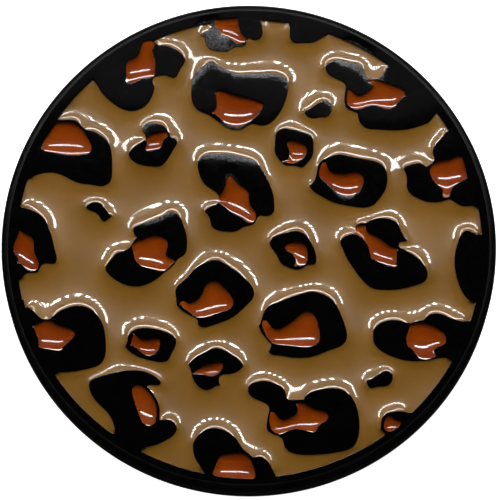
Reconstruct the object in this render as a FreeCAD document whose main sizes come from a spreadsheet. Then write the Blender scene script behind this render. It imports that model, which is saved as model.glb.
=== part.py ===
import FreeCAD, Part
import os
import Sketcher
from FreeCAD import Vector

# Golf ball marker: a struck metal disc with raised spots and rim, filled with soft enamel.
# Millimetres. The back of the disc lies on z = 0 and the decorated face looks up +Z.

os.makedirs("parts", exist_ok=True)
doc = FreeCAD.newDocument("golf_ball_marker")

# ---------------------------------------------------------------- driving dimensions
SIZES = [
    ("disc_diameter", 25.0, "outside diameter of the struck disc"),
    ("disc_thickness", 2.2, "overall thickness, back to rim top"),
    ("rim_inner_diameter", 23.5, "inside diameter of the raised rim"),
    ("rim_inner_right", 0.03, "middle of the inside of the rim, to +X of the disc axis"),
    ("rim_inner_down", 0.065, "middle of the inside of the rim, to -Y of the disc axis"),
    ("pattern_scale", 0.994, "size of the struck spot pattern against its drawing"),
    ("pattern_left", 0.05, "middle of the spot pattern, to -X of the disc axis"),
    ("pattern_down", 0.065, "middle of the spot pattern, to -Y of the disc axis"),
    ("well_depth", 0.45, "depth of the enamel wells below the rim top"),
    ("enamel_setback", 0.20, "enamel surface below the rim top"),
    ("face_edge_radius", 0.35, "rounding of the outer edge at the face"),
    ("back_edge_radius", 0.20, "rounding of the outer edge at the back"),
    ("back_recess_diameter", 22.6, "shallow recess struck into the back"),
    ("back_recess_depth", 0.10, "depth of the recess in the back"),
    ("back_recess_radius", 0.06, "rounding of the step round the back recess"),
]

sheet = doc.addObject("Spreadsheet::Sheet", "Dimensions")
for row, (alias, value, meaning) in enumerate(SIZES, start=1):
    sheet.set("A%d" % row, meaning)
    sheet.set("B%d" % row, "%g" % value)
    sheet.setAlias("B%d" % row, alias)
doc.recompute()

# ---------------------------------------------------------------- the spot pattern
# Each spot has a raised metal outline and, where it has one, the outline of the orange pool
# inside it. An outline is a closed chain of smooth runs that meet at corners; a run starts at
# its own first point and ends at the first point of the next run. A run of one point is
# straight. x is to the right and y up the face, from the middle of the pattern.
# Spots on the rim carry on outwards into the metal of the rim.
SPOTS = {
    "northwest_rim": (
        [[(-4.95, 11.3), (-4.8, 10.8), (-4.55, 10.5), (-4.25, 10.5), (-3.7, 10.3), (-3.3, 9.95),
          (-3.2, 9.65), (-3.35, 9.4), (-3.55, 9.0), (-3.72, 8.78), (-4.1, 8.88), (-4.6, 8.88)],
         [(-4.75, 8.85), (-4.87, 8.62), (-4.78, 8.35), (-4.85, 7.9), (-5.1, 7.45), (-5.5, 7.14),
          (-5.95, 7.04), (-6.4, 7.14), (-7.0, 7.54), (-7.5, 8.05), (-7.85, 8.62), (-8.1, 8.9)],
         [(-8.15, 9.0)],
         [(-6.6, 10.1)]],
        [[(-5.35, 10.65), (-5.15, 10.73), (-4.9, 10.72), (-4.78, 10.6), (-4.88, 10.3),
          (-4.75, 9.75), (-4.75, 9.3)],
         [(-4.75, 8.97), (-5.0, 8.8), (-5.4, 8.75), (-5.7, 8.6), (-6.0, 8.5)],
         [(-6.25, 8.62), (-6.2, 9.0), (-6.2, 9.5), (-6.05, 9.74), (-5.7, 9.88), (-5.52, 10.15),
          (-5.43, 10.45)]]),
    "west_upper_rim": (
        [[(-9.95, 6.9), (-9.6, 6.62), (-9.1, 6.62), (-8.7, 6.53), (-8.35, 6.15), (-7.9, 6.02),
          (-7.5, 5.8), (-7.12, 5.45), (-6.93, 4.8), (-6.9, 3.9), (-7.03, 3.33), (-7.4, 3.14),
          (-8.0, 3.22), (-8.6, 3.3), (-9.2, 3.58), (-9.7, 3.8), (-10.2, 3.84), (-10.85, 3.68),
          (-11.2, 3.47)],
         [(-11.4, 3.25)],
         [(-11.95, 3.2)],
         [(-11.2, 4.7)],
         [(-10.1, 6.9)]],
        [[(-9.75, 6.42), (-9.4, 6.47), (-9.0, 6.45), (-8.7, 6.3), (-8.3, 5.87), (-8.07, 5.45),
          (-7.98, 5.02)],
         [(-8.1, 4.87), (-8.6, 4.77), (-9.1, 4.77), (-9.6, 4.83), (-10.1, 4.92), (-10.42, 5.03)],
         [(-10.52, 5.15), (-10.4, 5.48), (-10.1, 5.93), (-9.88, 6.27)]]),
    "west_rim": (
        [[(-12.0, 2.15), (-11.6, 2.1), (-11.1, 1.97), (-10.6, 1.7), (-10.25, 1.33), (-10.07, 0.9),
          (-9.9, 0.35), (-9.78, -0.2), (-9.68, -0.6)],
         [(-9.72, -0.8), (-10.0, -0.88), (-10.35, -0.87), (-10.5, -1.0), (-10.62, -1.27),
          (-10.85, -1.35), (-11.15, -1.35), (-11.4, -1.54), (-11.6, -1.75)],
         [(-12.0, -1.9)],
         [(-12.2, 0.0)]],
        [[(-11.6, 0.85), (-11.35, 0.71), (-11.02, 0.52), (-10.88, 0.25), (-10.85, -0.25),
          (-10.68, -0.65), (-10.62, -1.0), (-10.78, -1.22), (-11.1, -1.22), (-11.4, -0.97)],
         [(-11.67, -0.8), (-11.69, -0.5), (-11.84, -0.3), (-11.9, -0.05), (-11.83, 0.25),
          (-11.69, 0.55)]]),
    "west_lower_rim": (
        [[(-12.0, -2.6)],
         [(-11.36, -2.7)],
         [(-11.28, -3.1), (-11.0, -3.18), (-10.7, -3.46), (-10.4, -3.71), (-10.1, -3.74),
          (-9.8, -3.5), (-9.4, -3.23), (-8.9, -3.06), (-8.4, -3.04), (-7.95, -3.2),
          (-7.6, -3.53), (-7.33, -4.0), (-7.2, -4.6), (-7.17, -5.2), (-7.25, -5.75),
          (-7.5, -6.07), (-8.0, -6.25), (-8.7, -6.4), (-9.3, -6.45)],
         [(-9.7, -6.44)],
         [(-9.75, -6.9)],
         [(-10.4, -6.4)],
         [(-11.5, -4.3)]],
        [[(-10.88, -4.05), (-10.55, -3.93), (-10.3, -3.79), (-10.0, -3.79), (-9.65, -4.0),
          (-9.3, -4.13), (-8.95, -4.25)],
         [(-8.75, -4.48), (-8.9, -4.72), (-9.25, -5.04), (-9.38, -5.22)],
         [(-9.5, -5.35), (-9.75, -5.33), (-10.05, -5.25), (-10.35, -5.22)],
         [(-10.55, -5.12), (-10.6, -4.75), (-10.78, -4.25)]]),
    "southwest_rim": (
        [[(-8.03, -7.12), (-7.93, -6.86), (-7.65, -6.71), (-7.2, -6.58), (-6.5, -6.4),
          (-5.8, -6.33), (-5.3, -6.38), (-4.85, -6.55), (-4.5, -6.8)],
         [(-4.38, -7.0), (-4.5, -7.1), (-4.8, -7.1)],
         [(-5.08, -7.14), (-4.85, -7.46), (-4.57, -7.9), (-4.44, -8.4), (-4.45, -8.75)],
         [(-4.42, -8.87), (-4.0, -8.87), (-3.75, -8.98), (-3.57, -9.28), (-3.7, -9.6),
          (-4.1, -9.91), (-4.65, -10.16), (-5.15, -10.28)],
         [(-5.38, -10.38)],
         [(-5.4, -10.95)],
         [(-6.9, -10.05)],
         [(-6.86, -9.62)],
         [(-6.7, -9.52), (-6.75, -9.15), (-6.92, -8.75), (-7.25, -8.33), (-7.65, -7.94),
          (-7.93, -7.52)]],
        [[(-5.62, -7.1), (-5.83, -7.28), (-5.82, -7.6), (-5.65, -8.15), (-5.45, -8.73),
          (-5.25, -9.05), (-4.98, -9.18), (-4.72, -9.06), (-4.61, -8.7), (-4.63, -8.2),
          (-4.82, -7.72), (-5.15, -7.3), (-5.4, -7.12)]]),
    "south_rim": (
        [[(-2.2, -11.52), (-2.35, -11.3), (-2.6, -10.95), (-2.75, -10.5), (-2.75, -10.05),
          (-2.55, -9.72), (-2.2, -9.42), (-1.75, -9.29), (-1.3, -9.36), (-0.85, -9.59),
          (-0.5, -9.93), (-0.33, -10.23), (0.0, -10.54)],
         [(0.27, -10.79), (0.55, -10.74), (0.83, -10.82), (1.1, -11.09), (1.27, -11.45),
          (1.45, -11.8)],
         [(1.5, -12.1)],
         [(-2.3, -12.0)]],
        [[(-1.78, -11.62), (-1.66, -11.3), (-1.54, -10.98), (-1.38, -10.72), (-1.05, -10.62),
          (-0.6, -10.56), (-0.25, -10.58), (0.05, -10.8), (0.24, -11.15), (0.35, -11.55),
          (0.38, -11.78)],
         [(0.3, -11.86), (-0.3, -11.86), (-1.0, -11.81), (-1.55, -11.73)]]),
    "north_rim": (
        [[(-1.85, 12.1)],
         [(-1.85, 11.62), (-2.05, 11.3), (-2.4, 11.1)],
         [(-2.2, 10.88), (-2.12, 10.5), (-1.9, 10.27), (-1.5, 10.18), (-1.0, 10.19),
          (-0.6, 10.41), (-0.25, 10.42), (-0.07, 10.57), (0.0, 10.82)],
         [(0.15, 10.83), (0.5, 10.78), (0.72, 10.95), (0.73, 11.45), (0.7, 11.85)],
         [(0.72, 12.1)]],
        [[(-1.68, 11.82), (-1.1, 11.89)],
         [(-0.52, 11.94), (-0.44, 11.4), (-0.28, 11.05), (-0.1, 10.87)],
         [(-0.09, 10.72), (-0.3, 10.6), (-0.55, 10.6), (-0.85, 10.82), (-1.3, 11.07),
          (-1.5, 11.35), (-1.67, 11.55)]]),
    "north_right_rim": (
        [[(1.95, 12.1)],
         [(2.0, 11.78), (2.14, 11.4), (2.14, 10.95), (2.28, 10.67), (2.8, 10.6), (3.3, 10.63),
          (3.85, 10.9), (4.25, 11.2)],
         [(4.4, 11.5)],
         [(3.2, 11.9)]],
        None),
    "northeast_rim": (
        [[(7.25, 9.45), (6.95, 9.08), (6.72, 8.79), (6.4, 8.75), (6.12, 8.77), (6.0, 8.95),
          (5.85, 9.38), (5.3, 9.6), (4.7, 9.72), (4.2, 9.62), (3.96, 9.36), (4.1, 9.0),
          (4.6, 8.7), (4.98, 8.42), (4.98, 8.1), (4.92, 7.6), (5.05, 7.18), (5.5, 6.98)],
         [(5.62, 6.9), (5.72, 6.45), (5.98, 6.18), (6.5, 6.09), (7.3, 6.05), (8.2, 6.1),
          (8.9, 6.3), (9.3, 6.5), (9.62, 6.92)],
         [(10.0, 7.1)],
         [(8.9, 8.4)],
         [(7.5, 9.7)]],
        [[(6.1, 8.6), (6.42, 8.66), (6.85, 8.61), (7.4, 8.41), (7.85, 8.22)],
         [(8.06, 7.87), (7.7, 7.55), (7.32, 7.18), (6.85, 7.26), (6.3, 7.36), (5.75, 7.18),
          (5.35, 7.2), (5.1, 7.42), (5.06, 7.75), (5.15, 8.15)],
         [(5.35, 8.05), (5.75, 7.87), (6.15, 8.1), (6.42, 8.33)]]),
    "east_upper_rim": (
        [[(10.45, 6.1)],
         [(10.15, 6.0), (9.8, 5.6), (9.5, 5.22), (9.43, 4.85), (9.5, 4.53), (9.28, 4.27),
          (9.08, 4.15), (8.9, 4.3), (8.55, 4.34), (8.2, 4.23), (7.94, 4.12), (8.06, 3.75),
          (8.08, 3.15), (8.25, 2.76), (8.65, 2.5), (9.1, 2.33), (9.55, 2.3), (9.95, 2.37),
          (10.25, 2.45), (10.5, 2.32), (10.85, 2.12), (11.2, 2.1), (11.5, 2.13)],
         [(11.7, 1.95)],
         [(11.95, 2.1)],
         [(11.4, 4.4)]],
        [[(9.27, 4.02), (9.52, 4.34), (9.9, 4.46), (10.4, 4.57), (10.72, 4.7)],
         [(10.9, 4.64), (11.02, 4.3), (11.1, 3.95)],
         [(11.17, 3.58), (10.85, 3.4), (10.5, 3.17), (10.3, 2.8), (10.24, 2.62)],
         [(10.1, 2.56), (9.93, 2.57), (9.93, 2.9), (9.75, 3.15), (9.4, 3.55)]]),
    "east_rim": (
        [[(11.95, 0.7)],
         [(11.78, 0.66), (11.45, 0.74), (11.12, 0.85), (10.85, 0.67), (10.68, 0.3),
          (10.55, -0.15), (10.48, -0.8), (10.55, -1.4), (10.68, -1.9), (10.9, -2.4),
          (11.1, -2.67), (11.42, -2.86)],
         [(11.85, -2.9)],
         [(12.15, -1.0)]],
        None),
    "east_lower_rim": (
        [[(6.34, -4.6), (6.45, -4.13), (6.85, -3.86), (7.4, -3.76), (7.85, -3.84), (8.2, -3.92),
          (8.55, -3.82), (8.9, -3.76)],
         [(9.02, -3.62), (9.25, -3.46), (9.55, -3.42), (10.0, -3.53), (10.45, -3.73),
          (10.9, -3.82), (11.3, -3.78)],
         [(11.8, -3.7)],
         [(11.35, -4.8)],
         [(10.65, -6.2)],
         [(10.33, -5.88), (10.15, -5.74), (9.65, -5.72), (9.2, -5.82), (8.6, -5.88),
          (8.0, -5.85), (7.4, -5.69), (6.85, -5.43), (6.47, -5.1)]],
        [[(8.22, -4.05), (8.45, -3.96), (8.9, -3.93), (9.35, -4.06), (9.75, -4.3), (10.0, -4.57),
          (10.04, -4.8)],
         [(9.95, -4.98), (9.65, -5.14), (9.4, -5.32)],
         [(9.42, -5.48), (9.52, -5.62)],
         [(9.45, -5.68), (9.1, -5.77), (8.8, -5.78), (8.6, -5.65), (8.4, -5.36), (8.1, -5.07),
          (8.02, -4.75), (8.1, -4.4)]]),
    "southeast_rim": (
        [[(8.55, -8.33), (8.2, -8.52), (7.75, -8.43), (7.35, -8.45), (6.95, -8.57),
          (6.75, -8.85), (6.72, -9.15)],
         [(6.68, -9.33), (6.86, -9.48), (6.93, -9.65)],
         [(6.85, -9.75)],
         [(7.0, -10.0)],
         [(8.0, -9.2)],
         [(8.9, -8.3)]],
        [[(7.0, -8.74), (7.15, -8.66), (7.32, -8.78), (7.5, -8.9)],
         [(7.72, -8.98), (7.68, -9.13), (7.4, -9.36), (7.15, -9.48), (6.93, -9.38),
          (6.87, -9.1)]]),
    "north_large": (
        [[(-2.5, 9.25), (-2.2, 9.48), (-1.85, 9.65), (-1.5, 9.46), (-1.0, 9.2), (-0.4, 9.03),
          (0.3, 9.04), (0.95, 9.06), (1.6, 8.95), (2.02, 8.67), (2.07, 8.2), (1.9, 7.5),
          (1.6, 6.9), (1.15, 6.42), (0.7, 6.28), (0.2, 6.36), (-0.2, 6.15), (-0.6, 6.05),
          (-1.1, 6.2), (-1.6, 6.55), (-2.1, 6.89), (-2.5, 7.06), (-2.83, 7.5), (-2.9, 8.1),
          (-2.8, 8.8)]],
        [[(-1.65, 8.05), (-1.4, 8.1), (-0.9, 7.96), (-0.2, 7.78), (0.4, 7.6)],
         [(0.8, 7.38), (0.6, 7.0), (0.2, 6.58), (-0.2, 6.32), (-0.6, 6.24), (-1.1, 6.4),
          (-1.5, 6.77)],
         [(-1.85, 6.98), (-1.62, 7.15), (-1.58, 7.5), (-1.62, 7.85)]]),
    "northwest_inner": (
        [[(-4.08, 6.02), (-4.4, 6.35), (-4.8, 6.46), (-5.2, 6.4), (-5.4, 6.1), (-5.22, 5.8)],
         [(-5.2, 5.62), (-5.55, 5.37), (-5.9, 5.1), (-6.08, 4.78), (-5.85, 4.45), (-5.4, 4.24),
          (-4.9, 4.16), (-4.45, 4.18), (-4.1, 4.5), (-3.8, 5.02), (-3.6, 5.48)],
         [(-3.75, 5.65), (-3.96, 5.72)],
         [(-3.98, 5.88)]],
        [[(-5.2, 5.55), (-4.95, 5.82), (-4.55, 5.93), (-4.12, 5.9)],
         [(-4.12, 5.75), (-4.32, 5.5), (-4.45, 5.15), (-4.75, 5.03), (-5.05, 4.97),
          (-5.2, 5.03), (-5.16, 5.3)]]),
    "west_fleck": (
        [[(-8.25, 2.06), (-8.02, 2.25), (-7.72, 2.32), (-7.45, 2.22), (-7.18, 1.88)],
         [(-6.88, 1.6), (-7.1, 1.42), (-7.32, 1.3), (-7.5, 1.5), (-7.75, 1.77), (-8.05, 1.89)]],
        None),
    "centre": (
        [[(-1.5, 2.28), (-1.7, 2.18), (-2.0, 2.04), (-2.18, 1.85), (-2.02, 1.62), (-1.91, 1.35),
          (-1.82, 1.03), (-1.55, 0.86), (-1.0, 0.78), (-0.5, 0.84), (-0.2, 1.03), (0.1, 1.1),
          (0.37, 1.24), (0.53, 1.56)],
         [(0.75, 1.6), (1.05, 1.6), (1.3, 1.76), (1.36, 2.1), (1.3, 2.7), (1.1, 3.32),
          (0.76, 3.96), (0.45, 4.38), (-0.1, 4.64), (-0.85, 4.82), (-1.65, 4.86),
          (-2.2, 4.77), (-2.53, 4.45), (-2.5, 3.85), (-2.25, 3.3), (-1.85, 2.98), (-1.58, 2.77)],
         [(-1.48, 2.65)]],
        [[(-1.48, 2.65)],
         [(-1.5, 2.28), (-1.3, 2.19), (-1.05, 1.97), (-0.6, 1.67), (-0.25, 1.47), (-0.05, 1.28),
          (0.13, 1.23), (0.35, 1.38), (0.42, 1.6), (0.3, 1.9), (0.12, 2.15), (0.05, 2.5),
          (0.03, 2.8), (-0.25, 3.1), (-0.6, 3.37), (-0.92, 3.67)],
         [(-1.06, 3.5), (-1.15, 3.15), (-1.28, 2.84)]]),
    "north_inner": (
        [[(1.55, 6.05), (1.85, 6.16), (2.3, 6.1), (2.9, 5.93), (3.25, 5.73), (3.35, 5.25),
          (3.28, 4.68), (3.02, 4.32), (2.75, 4.11), (2.4, 4.2), (1.95, 4.22), (1.62, 4.48),
          (1.39, 4.85), (1.38, 5.4), (1.44, 5.88)]],
        [[(1.8, 4.47), (2.0, 4.52), (2.13, 4.78), (2.07, 5.12), (2.0, 5.45), (2.3, 5.52),
          (2.7, 5.4), (3.0, 5.15), (2.98, 4.87), (2.75, 4.54), (2.4, 4.35), (2.05, 4.36)]]),
    "northeast_fleck": (
        [[(2.88, 7.06), (3.2, 7.2), (3.6, 7.48), (4.0, 7.6), (4.28, 7.4), (4.25, 6.98),
          (4.02, 6.74), (3.6, 6.71), (3.2, 6.68)]],
        None),
    "northeast_inner": (
        [[(3.55, 4.05), (3.72, 4.43), (4.1, 4.65), (4.6, 4.79), (5.2, 4.7), (5.9, 4.57),
          (6.5, 4.44), (6.95, 4.13), (7.11, 3.6), (7.02, 3.0), (6.75, 2.55), (6.4, 2.17),
          (6.0, 2.03), (5.4, 2.07), (4.7, 2.2), (4.2, 2.36), (3.75, 2.62), (3.35, 2.86)],
         [(3.12, 3.2), (3.42, 3.5), (3.5, 3.8)]],
        [[(4.03, 4.2), (4.2, 3.92), (4.6, 3.79), (5.1, 3.81), (5.55, 3.87), (5.88, 3.58),
          (5.85, 3.2), (5.55, 2.81), (5.15, 2.61), (4.8, 2.67), (4.4, 2.95), (3.95, 3.33),
          (3.65, 3.7), (3.68, 4.1), (3.9, 4.4)]]),
    "east_inner": (
        [[(5.42, 0.7), (5.1, 0.61), (4.8, 0.46), (4.69, 0.25), (4.8, -0.07), (4.97, -0.5),
          (5.25, -0.95), (5.55, -1.42), (5.9, -1.82), (6.3, -2.13), (6.8, -2.22), (7.4, -2.22),
          (8.0, -2.13), (8.6, -1.96), (9.03, -1.72), (9.13, -1.42), (9.0, -1.0), (8.65, -0.6),
          (8.2, -0.27)],
         [(7.7, -0.02), (7.66, 0.13), (7.75, 0.25), (8.0, 0.26)],
         [(8.09, 0.33), (7.95, 0.55), (7.78, 0.85), (7.65, 1.15), (7.35, 1.4), (6.9, 1.5),
          (6.4, 1.44), (6.0, 1.26), (5.72, 1.22)],
         [(5.48, 1.08)]],
        [[(5.42, 0.7), (5.65, 0.58), (5.95, 0.32), (6.1, 0.05), (6.18, -0.25)],
         [(6.25, -0.55), (6.6, -0.75), (7.0, -0.93), (7.35, -1.02)],
         [(7.52, -0.98), (7.55, -0.7), (7.55, -0.35)],
         [(7.6, -0.1), (7.35, -0.03), (7.1, 0.12), (6.75, 0.41), (6.35, 0.62), (6.1, 0.75)],
         [(5.99, 1.08), (5.75, 1.12)],
         [(5.48, 1.08)]]),
    "centre_right": (
        [[(1.12, 0.18), (1.25, 0.47), (1.6, 0.64), (2.1, 0.78), (2.5, 0.83), (2.85, 0.7),
          (3.15, 0.35), (3.37, -0.08), (3.48, -0.5)],
         [(3.47, -0.8), (3.35, -0.92), (3.1, -0.93), (2.8, -1.1), (2.45, -1.19), (2.1, -1.08),
          (1.7, -0.87), (1.5, -0.5), (1.3, -0.2), (1.16, 0.0)]],
        [[(1.87, 0.0), (2.05, 0.17), (2.45, 0.24), (2.8, 0.18), (2.98, -0.05), (3.03, -0.5),
          (2.97, -0.84), (2.7, -0.98)],
         [(2.35, -0.94), (2.44, -0.7), (2.33, -0.43), (2.05, -0.23)]]),
    "west_inner": (
        [[(-5.8, 1.02), (-5.4, 1.2), (-4.85, 1.41), (-4.35, 1.61), (-3.9, 1.82), (-3.55, 1.69),
          (-3.32, 1.27), (-3.13, 0.7), (-3.08, 0.05), (-3.22, -0.42), (-3.55, -0.64),
          (-3.75, -0.93), (-4.2, -1.31), (-4.65, -1.68), (-5.2, -1.96), (-5.8, -2.04),
          (-6.4, -1.88), (-6.95, -1.53), (-7.23, -1.08), (-7.0, -0.7), (-6.65, -0.32),
          (-6.1, -0.12), (-5.85, 0.2)],
         [(-5.64, 0.5), (-5.8, 0.72)]],
        [[(-5.7, 0.22), (-5.55, 0.35)],
         [(-5.39, 0.34), (-5.05, 0.52), (-4.68, 0.58), (-4.25, 0.44), (-4.07, 0.22),
          (-4.12, -0.15), (-4.15, -0.46), (-3.95, -0.59), (-3.75, -0.7), (-3.95, -1.0),
          (-4.3, -1.25), (-4.8, -1.16), (-5.35, -1.0), (-5.7, -0.68), (-5.82, -0.25),
          (-5.88, 0.0)]]),
    "centre_lower": (
        [[(-3.62, -2.85), (-3.64, -2.55), (-3.67, -2.25), (-3.5, -1.93), (-3.1, -1.6),
          (-2.75, -1.18), (-2.35, -0.9), (-1.9, -0.7), (-1.45, -0.7), (-1.0, -0.96),
          (-0.5, -1.3), (0.0, -1.75), (0.28, -2.17), (0.3, -2.55), (-0.05, -3.0),
          (-0.48, -3.42), (-1.05, -3.78), (-1.75, -4.02), (-2.3, -4.14)],
         [(-2.52, -4.02), (-2.52, -3.85)],
         [(-2.58, -3.72), (-3.0, -3.5), (-3.4, -3.24), (-3.57, -3.05)]],
        [[(-3.42, -2.85), (-3.3, -2.77), (-3.05, -2.9), (-2.75, -2.85), (-2.48, -2.66),
          (-2.3, -2.4), (-2.17, -2.05), (-1.95, -1.82), (-1.62, -1.76), (-1.35, -1.95),
          (-1.0, -2.33), (-0.75, -2.75), (-0.78, -3.05), (-1.15, -3.3), (-1.7, -3.47),
          (-2.3, -3.65), (-2.6, -3.6), (-3.0, -3.33), (-3.32, -3.07)]]),
    "southwest_inner": (
        [[(-6.07, -4.8), (-6.05, -4.55), (-5.8, -4.3), (-5.4, -4.17), (-4.9, -4.18),
          (-4.4, -4.29), (-3.9, -4.48), (-3.66, -4.7), (-3.65, -5.08), (-3.85, -5.5),
          (-4.07, -5.86), (-4.4, -5.93), (-5.0, -5.83), (-5.5, -5.68), (-5.95, -5.42)],
         [(-6.2, -5.15), (-6.16, -5.03)]],
        [[(-5.75, -4.46), (-5.62, -4.6), (-5.4, -4.74), (-5.0, -4.77), (-4.65, -4.72)],
         [(-4.44, -4.78), (-4.45, -5.1), (-4.6, -5.4), (-4.85, -5.57), (-5.15, -5.56),
          (-5.5, -5.31), (-5.75, -5.12)],
         [(-5.93, -5.02), (-5.86, -4.75)]]),
    "south_inner": (
        [[(-3.0, -6.03), (-2.8, -5.8), (-2.4, -5.52), (-2.0, -5.32), (-1.6, -5.2), (-1.25, -5.28),
          (-0.8, -5.54), (-0.42, -5.82), (-0.23, -6.12), (-0.42, -6.35), (-0.8, -6.52)],
         [(-1.2, -6.55), (-1.45, -6.75), (-1.45, -6.95)],
         [(-1.38, -7.12), (-1.7, -7.2), (-2.0, -7.35), (-2.35, -7.27), (-2.63, -7.03),
          (-2.8, -6.66), (-2.88, -6.35)]],
        [[(-2.74, -6.48), (-2.5, -6.3), (-2.15, -6.1), (-1.75, -5.98), (-1.45, -5.92)],
         [(-1.25, -6.0), (-1.33, -6.3), (-1.55, -6.55), (-1.85, -6.64), (-2.25, -6.56),
          (-2.55, -6.55)]]),
    "southeast_inner": (
        [[(0.55, -4.05), (0.7, -3.72), (0.82, -3.35), (1.05, -3.06), (1.5, -2.85), (2.1, -2.62),
          (2.7, -2.41), (3.25, -2.3), (3.8, -2.42), (4.35, -2.8), (4.65, -3.32), (4.9, -3.95),
          (5.03, -4.6), (4.9, -4.95), (4.5, -5.2), (3.95, -5.39), (3.4, -5.61), (2.8, -5.71),
          (2.1, -5.68), (1.5, -5.58), (1.15, -5.52)],
         [(1.05, -5.4), (1.15, -5.18)],
         [(1.18, -5.0), (0.88, -4.68), (0.64, -4.32)]],
        [[(0.77, -3.8), (0.95, -3.8), (1.12, -4.06), (1.5, -4.24), (1.95, -4.03), (2.4, -3.72),
          (2.75, -3.41), (3.05, -3.32), (3.35, -3.5), (3.53, -3.9), (3.64, -4.5), (3.55, -4.92),
          (3.2, -5.12), (2.6, -5.13), (1.9, -5.05), (1.35, -4.98)],
         [(1.2, -4.92), (0.97, -4.6), (0.77, -4.2), (0.72, -3.95)]]),
    "south_large": (
        [[(0.0, -7.3), (0.12, -7.06), (0.45, -6.92), (1.0, -6.9), (1.5, -7.08), (1.87, -7.37),
          (2.05, -7.83)],
         [(2.15, -7.86)],
         [(2.8, -7.84), (3.1, -7.5), (3.55, -7.34), (4.2, -7.25), (4.85, -7.37), (5.3, -7.78),
          (5.55, -8.4), (5.64, -9.1), (5.56, -9.8), (5.3, -10.26), (4.75, -10.48),
          (4.0, -10.61), (3.1, -10.66), (2.3, -10.58), (1.88, -10.3), (1.74, -9.85)],
         [(1.65, -9.74), (1.25, -9.6), (0.98, -9.4), (0.95, -9.1), (1.01, -8.7), (1.08, -8.3)],
         [(0.95, -8.07), (0.5, -7.87), (0.15, -7.67)]],
        [[(1.15, -8.47), (1.3, -8.48), (1.48, -8.7), (1.8, -8.88), (2.2, -8.72), (2.5, -8.52),
          (2.5, -8.25)],
         [(2.43, -8.04)],
         [(2.8, -8.0), (3.15, -8.2), (3.6, -8.39), (3.9, -8.46), (4.06, -8.68), (3.85, -8.98),
          (3.58, -9.15), (3.45, -9.42)],
         [(3.28, -9.51), (2.8, -9.38), (2.35, -9.33), (1.95, -9.47), (1.62, -9.6),
          (1.25, -9.42), (1.1, -9.05), (1.1, -8.7)]]),
    "southeast_fleck": (
        [[(5.98, -6.88), (6.35, -6.72), (6.65, -6.52), (6.95, -6.38), (7.25, -6.46),
          (7.33, -6.75), (7.12, -7.11), (6.75, -7.18)],
         [(6.35, -7.24), (6.15, -7.25), (6.03, -7.05)]],
        None),
}
# The pools of "centre" and "east_inner" share one straight stretch with their spot's outline:
# there the wall is open and the orange meets the tan face to face.


# ---------------------------------------------------------------- helpers
# Two lengths closer than this many millimetres are the same size.
MATCH_GAP = 1e-4


def on_disc(x, y):
    """Where a point of the pattern lies on the disc, which the die strikes a little off its axis."""
    scale = sheet.get("pattern_scale")
    left = sheet.get("pattern_left")
    down = sheet.get("pattern_down")
    return Vector(scale * x - left, scale * y - down, 0)


def outline_curves(runs):
    """The curves of one closed outline."""
    if len(runs) == 1:
        loop = Part.BSplineCurve()
        loop.interpolate(Points=[on_disc(x, y) for x, y in runs[0]], PeriodicFlag=True)
        return [loop]
    curves = []
    for index, run in enumerate(runs):
        following = runs[(index + 1) % len(runs)]
        points = [on_disc(x, y) for x, y in run + following[:1]]
        if len(points) == 2:
            curves.append(Part.LineSegment(points[0], points[1]))
        else:
            stretch = Part.BSplineCurve()
            stretch.interpolate(Points=points)
            curves.append(stretch)
    return curves


def new_body(label):
    body = doc.addObject("PartDesign::Body", label)
    body.Label = label
    return body


def origin_plane(body, role):
    for feature in body.Origin.OriginFeatures:
        if feature.Role == role:
            return feature
    raise ValueError("no origin plane " + role)


def face_sketch(body, name, height):
    """A sketch parallel to the back of the disc, at a height given by a sheet expression."""
    sketch = body.newObject("Sketcher::SketchObject", name)
    sketch.AttachmentSupport = [(origin_plane(body, "XY_Plane"), "")]
    sketch.MapMode = "FlatFace"
    sketch.setExpression("AttachmentOffset.Base.z", height)
    return sketch


def add_circle(sketch, diameter):
    """A circle about the disc axis, driven by a diameter from the sheet."""
    nominal = sheet.get(diameter) / 2
    index = sketch.addGeometry(Part.Circle(Vector(0, 0, 0), Vector(0, 0, 1), nominal), False)
    sketch.addConstraint(Sketcher.Constraint("Coincident", index, 3, -1, 1))
    size = sketch.addConstraint(Sketcher.Constraint("Diameter", index, 2 * nominal))
    sketch.setExpression("Constraints[%d]" % size, "Dimensions." + diameter)


def add_rim_inside(sketch):
    """The inside circle of the rim, struck a little off the disc axis."""
    nominal = sheet.get("rim_inner_diameter") / 2
    right = sheet.get("rim_inner_right")
    down = sheet.get("rim_inner_down")
    centre = Vector(right, -down, 0)
    index = sketch.addGeometry(Part.Circle(centre, Vector(0, 0, 1), nominal), False)
    across = sketch.addConstraint(Sketcher.Constraint("DistanceX", -1, 1, index, 3, right))
    sketch.setExpression("Constraints[%d]" % across, "Dimensions.rim_inner_right")
    below = sketch.addConstraint(Sketcher.Constraint("DistanceY", index, 3, -1, 1, down))
    sketch.setExpression("Constraints[%d]" % below, "Dimensions.rim_inner_down")
    size = sketch.addConstraint(Sketcher.Constraint("Diameter", index, 2 * nominal))
    sketch.setExpression("Constraints[%d]" % size, "Dimensions.rim_inner_diameter")


def add_outlines(sketch, outlines):
    """Closed outlines, each curve blocked where it was drawn."""
    for runs in outlines:
        indices = sketch.addGeometry(outline_curves(runs), False)
        for index in indices:
            sketch.addConstraint(Sketcher.Constraint("Block", index))


def pad(body, sketch, name, length):
    feature = body.newObject("PartDesign::Pad", name)
    feature.Profile = sketch
    feature.setExpression("Length", length)
    sketch.Visibility = False
    doc.recompute()
    return feature


def pocket(body, sketch, name, depth, upward=False):
    """Cut down from the sketch, or up into the metal; the solid must lose volume."""
    before = body.Shape.Volume
    feature = body.newObject("PartDesign::Pocket", name)
    feature.Profile = sketch
    feature.Reversed = upward
    feature.setExpression("Length", depth)
    sketch.Visibility = False
    doc.recompute()
    if not body.Shape.Volume < before:
        raise ValueError(name + " removed nothing")
    return feature


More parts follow.
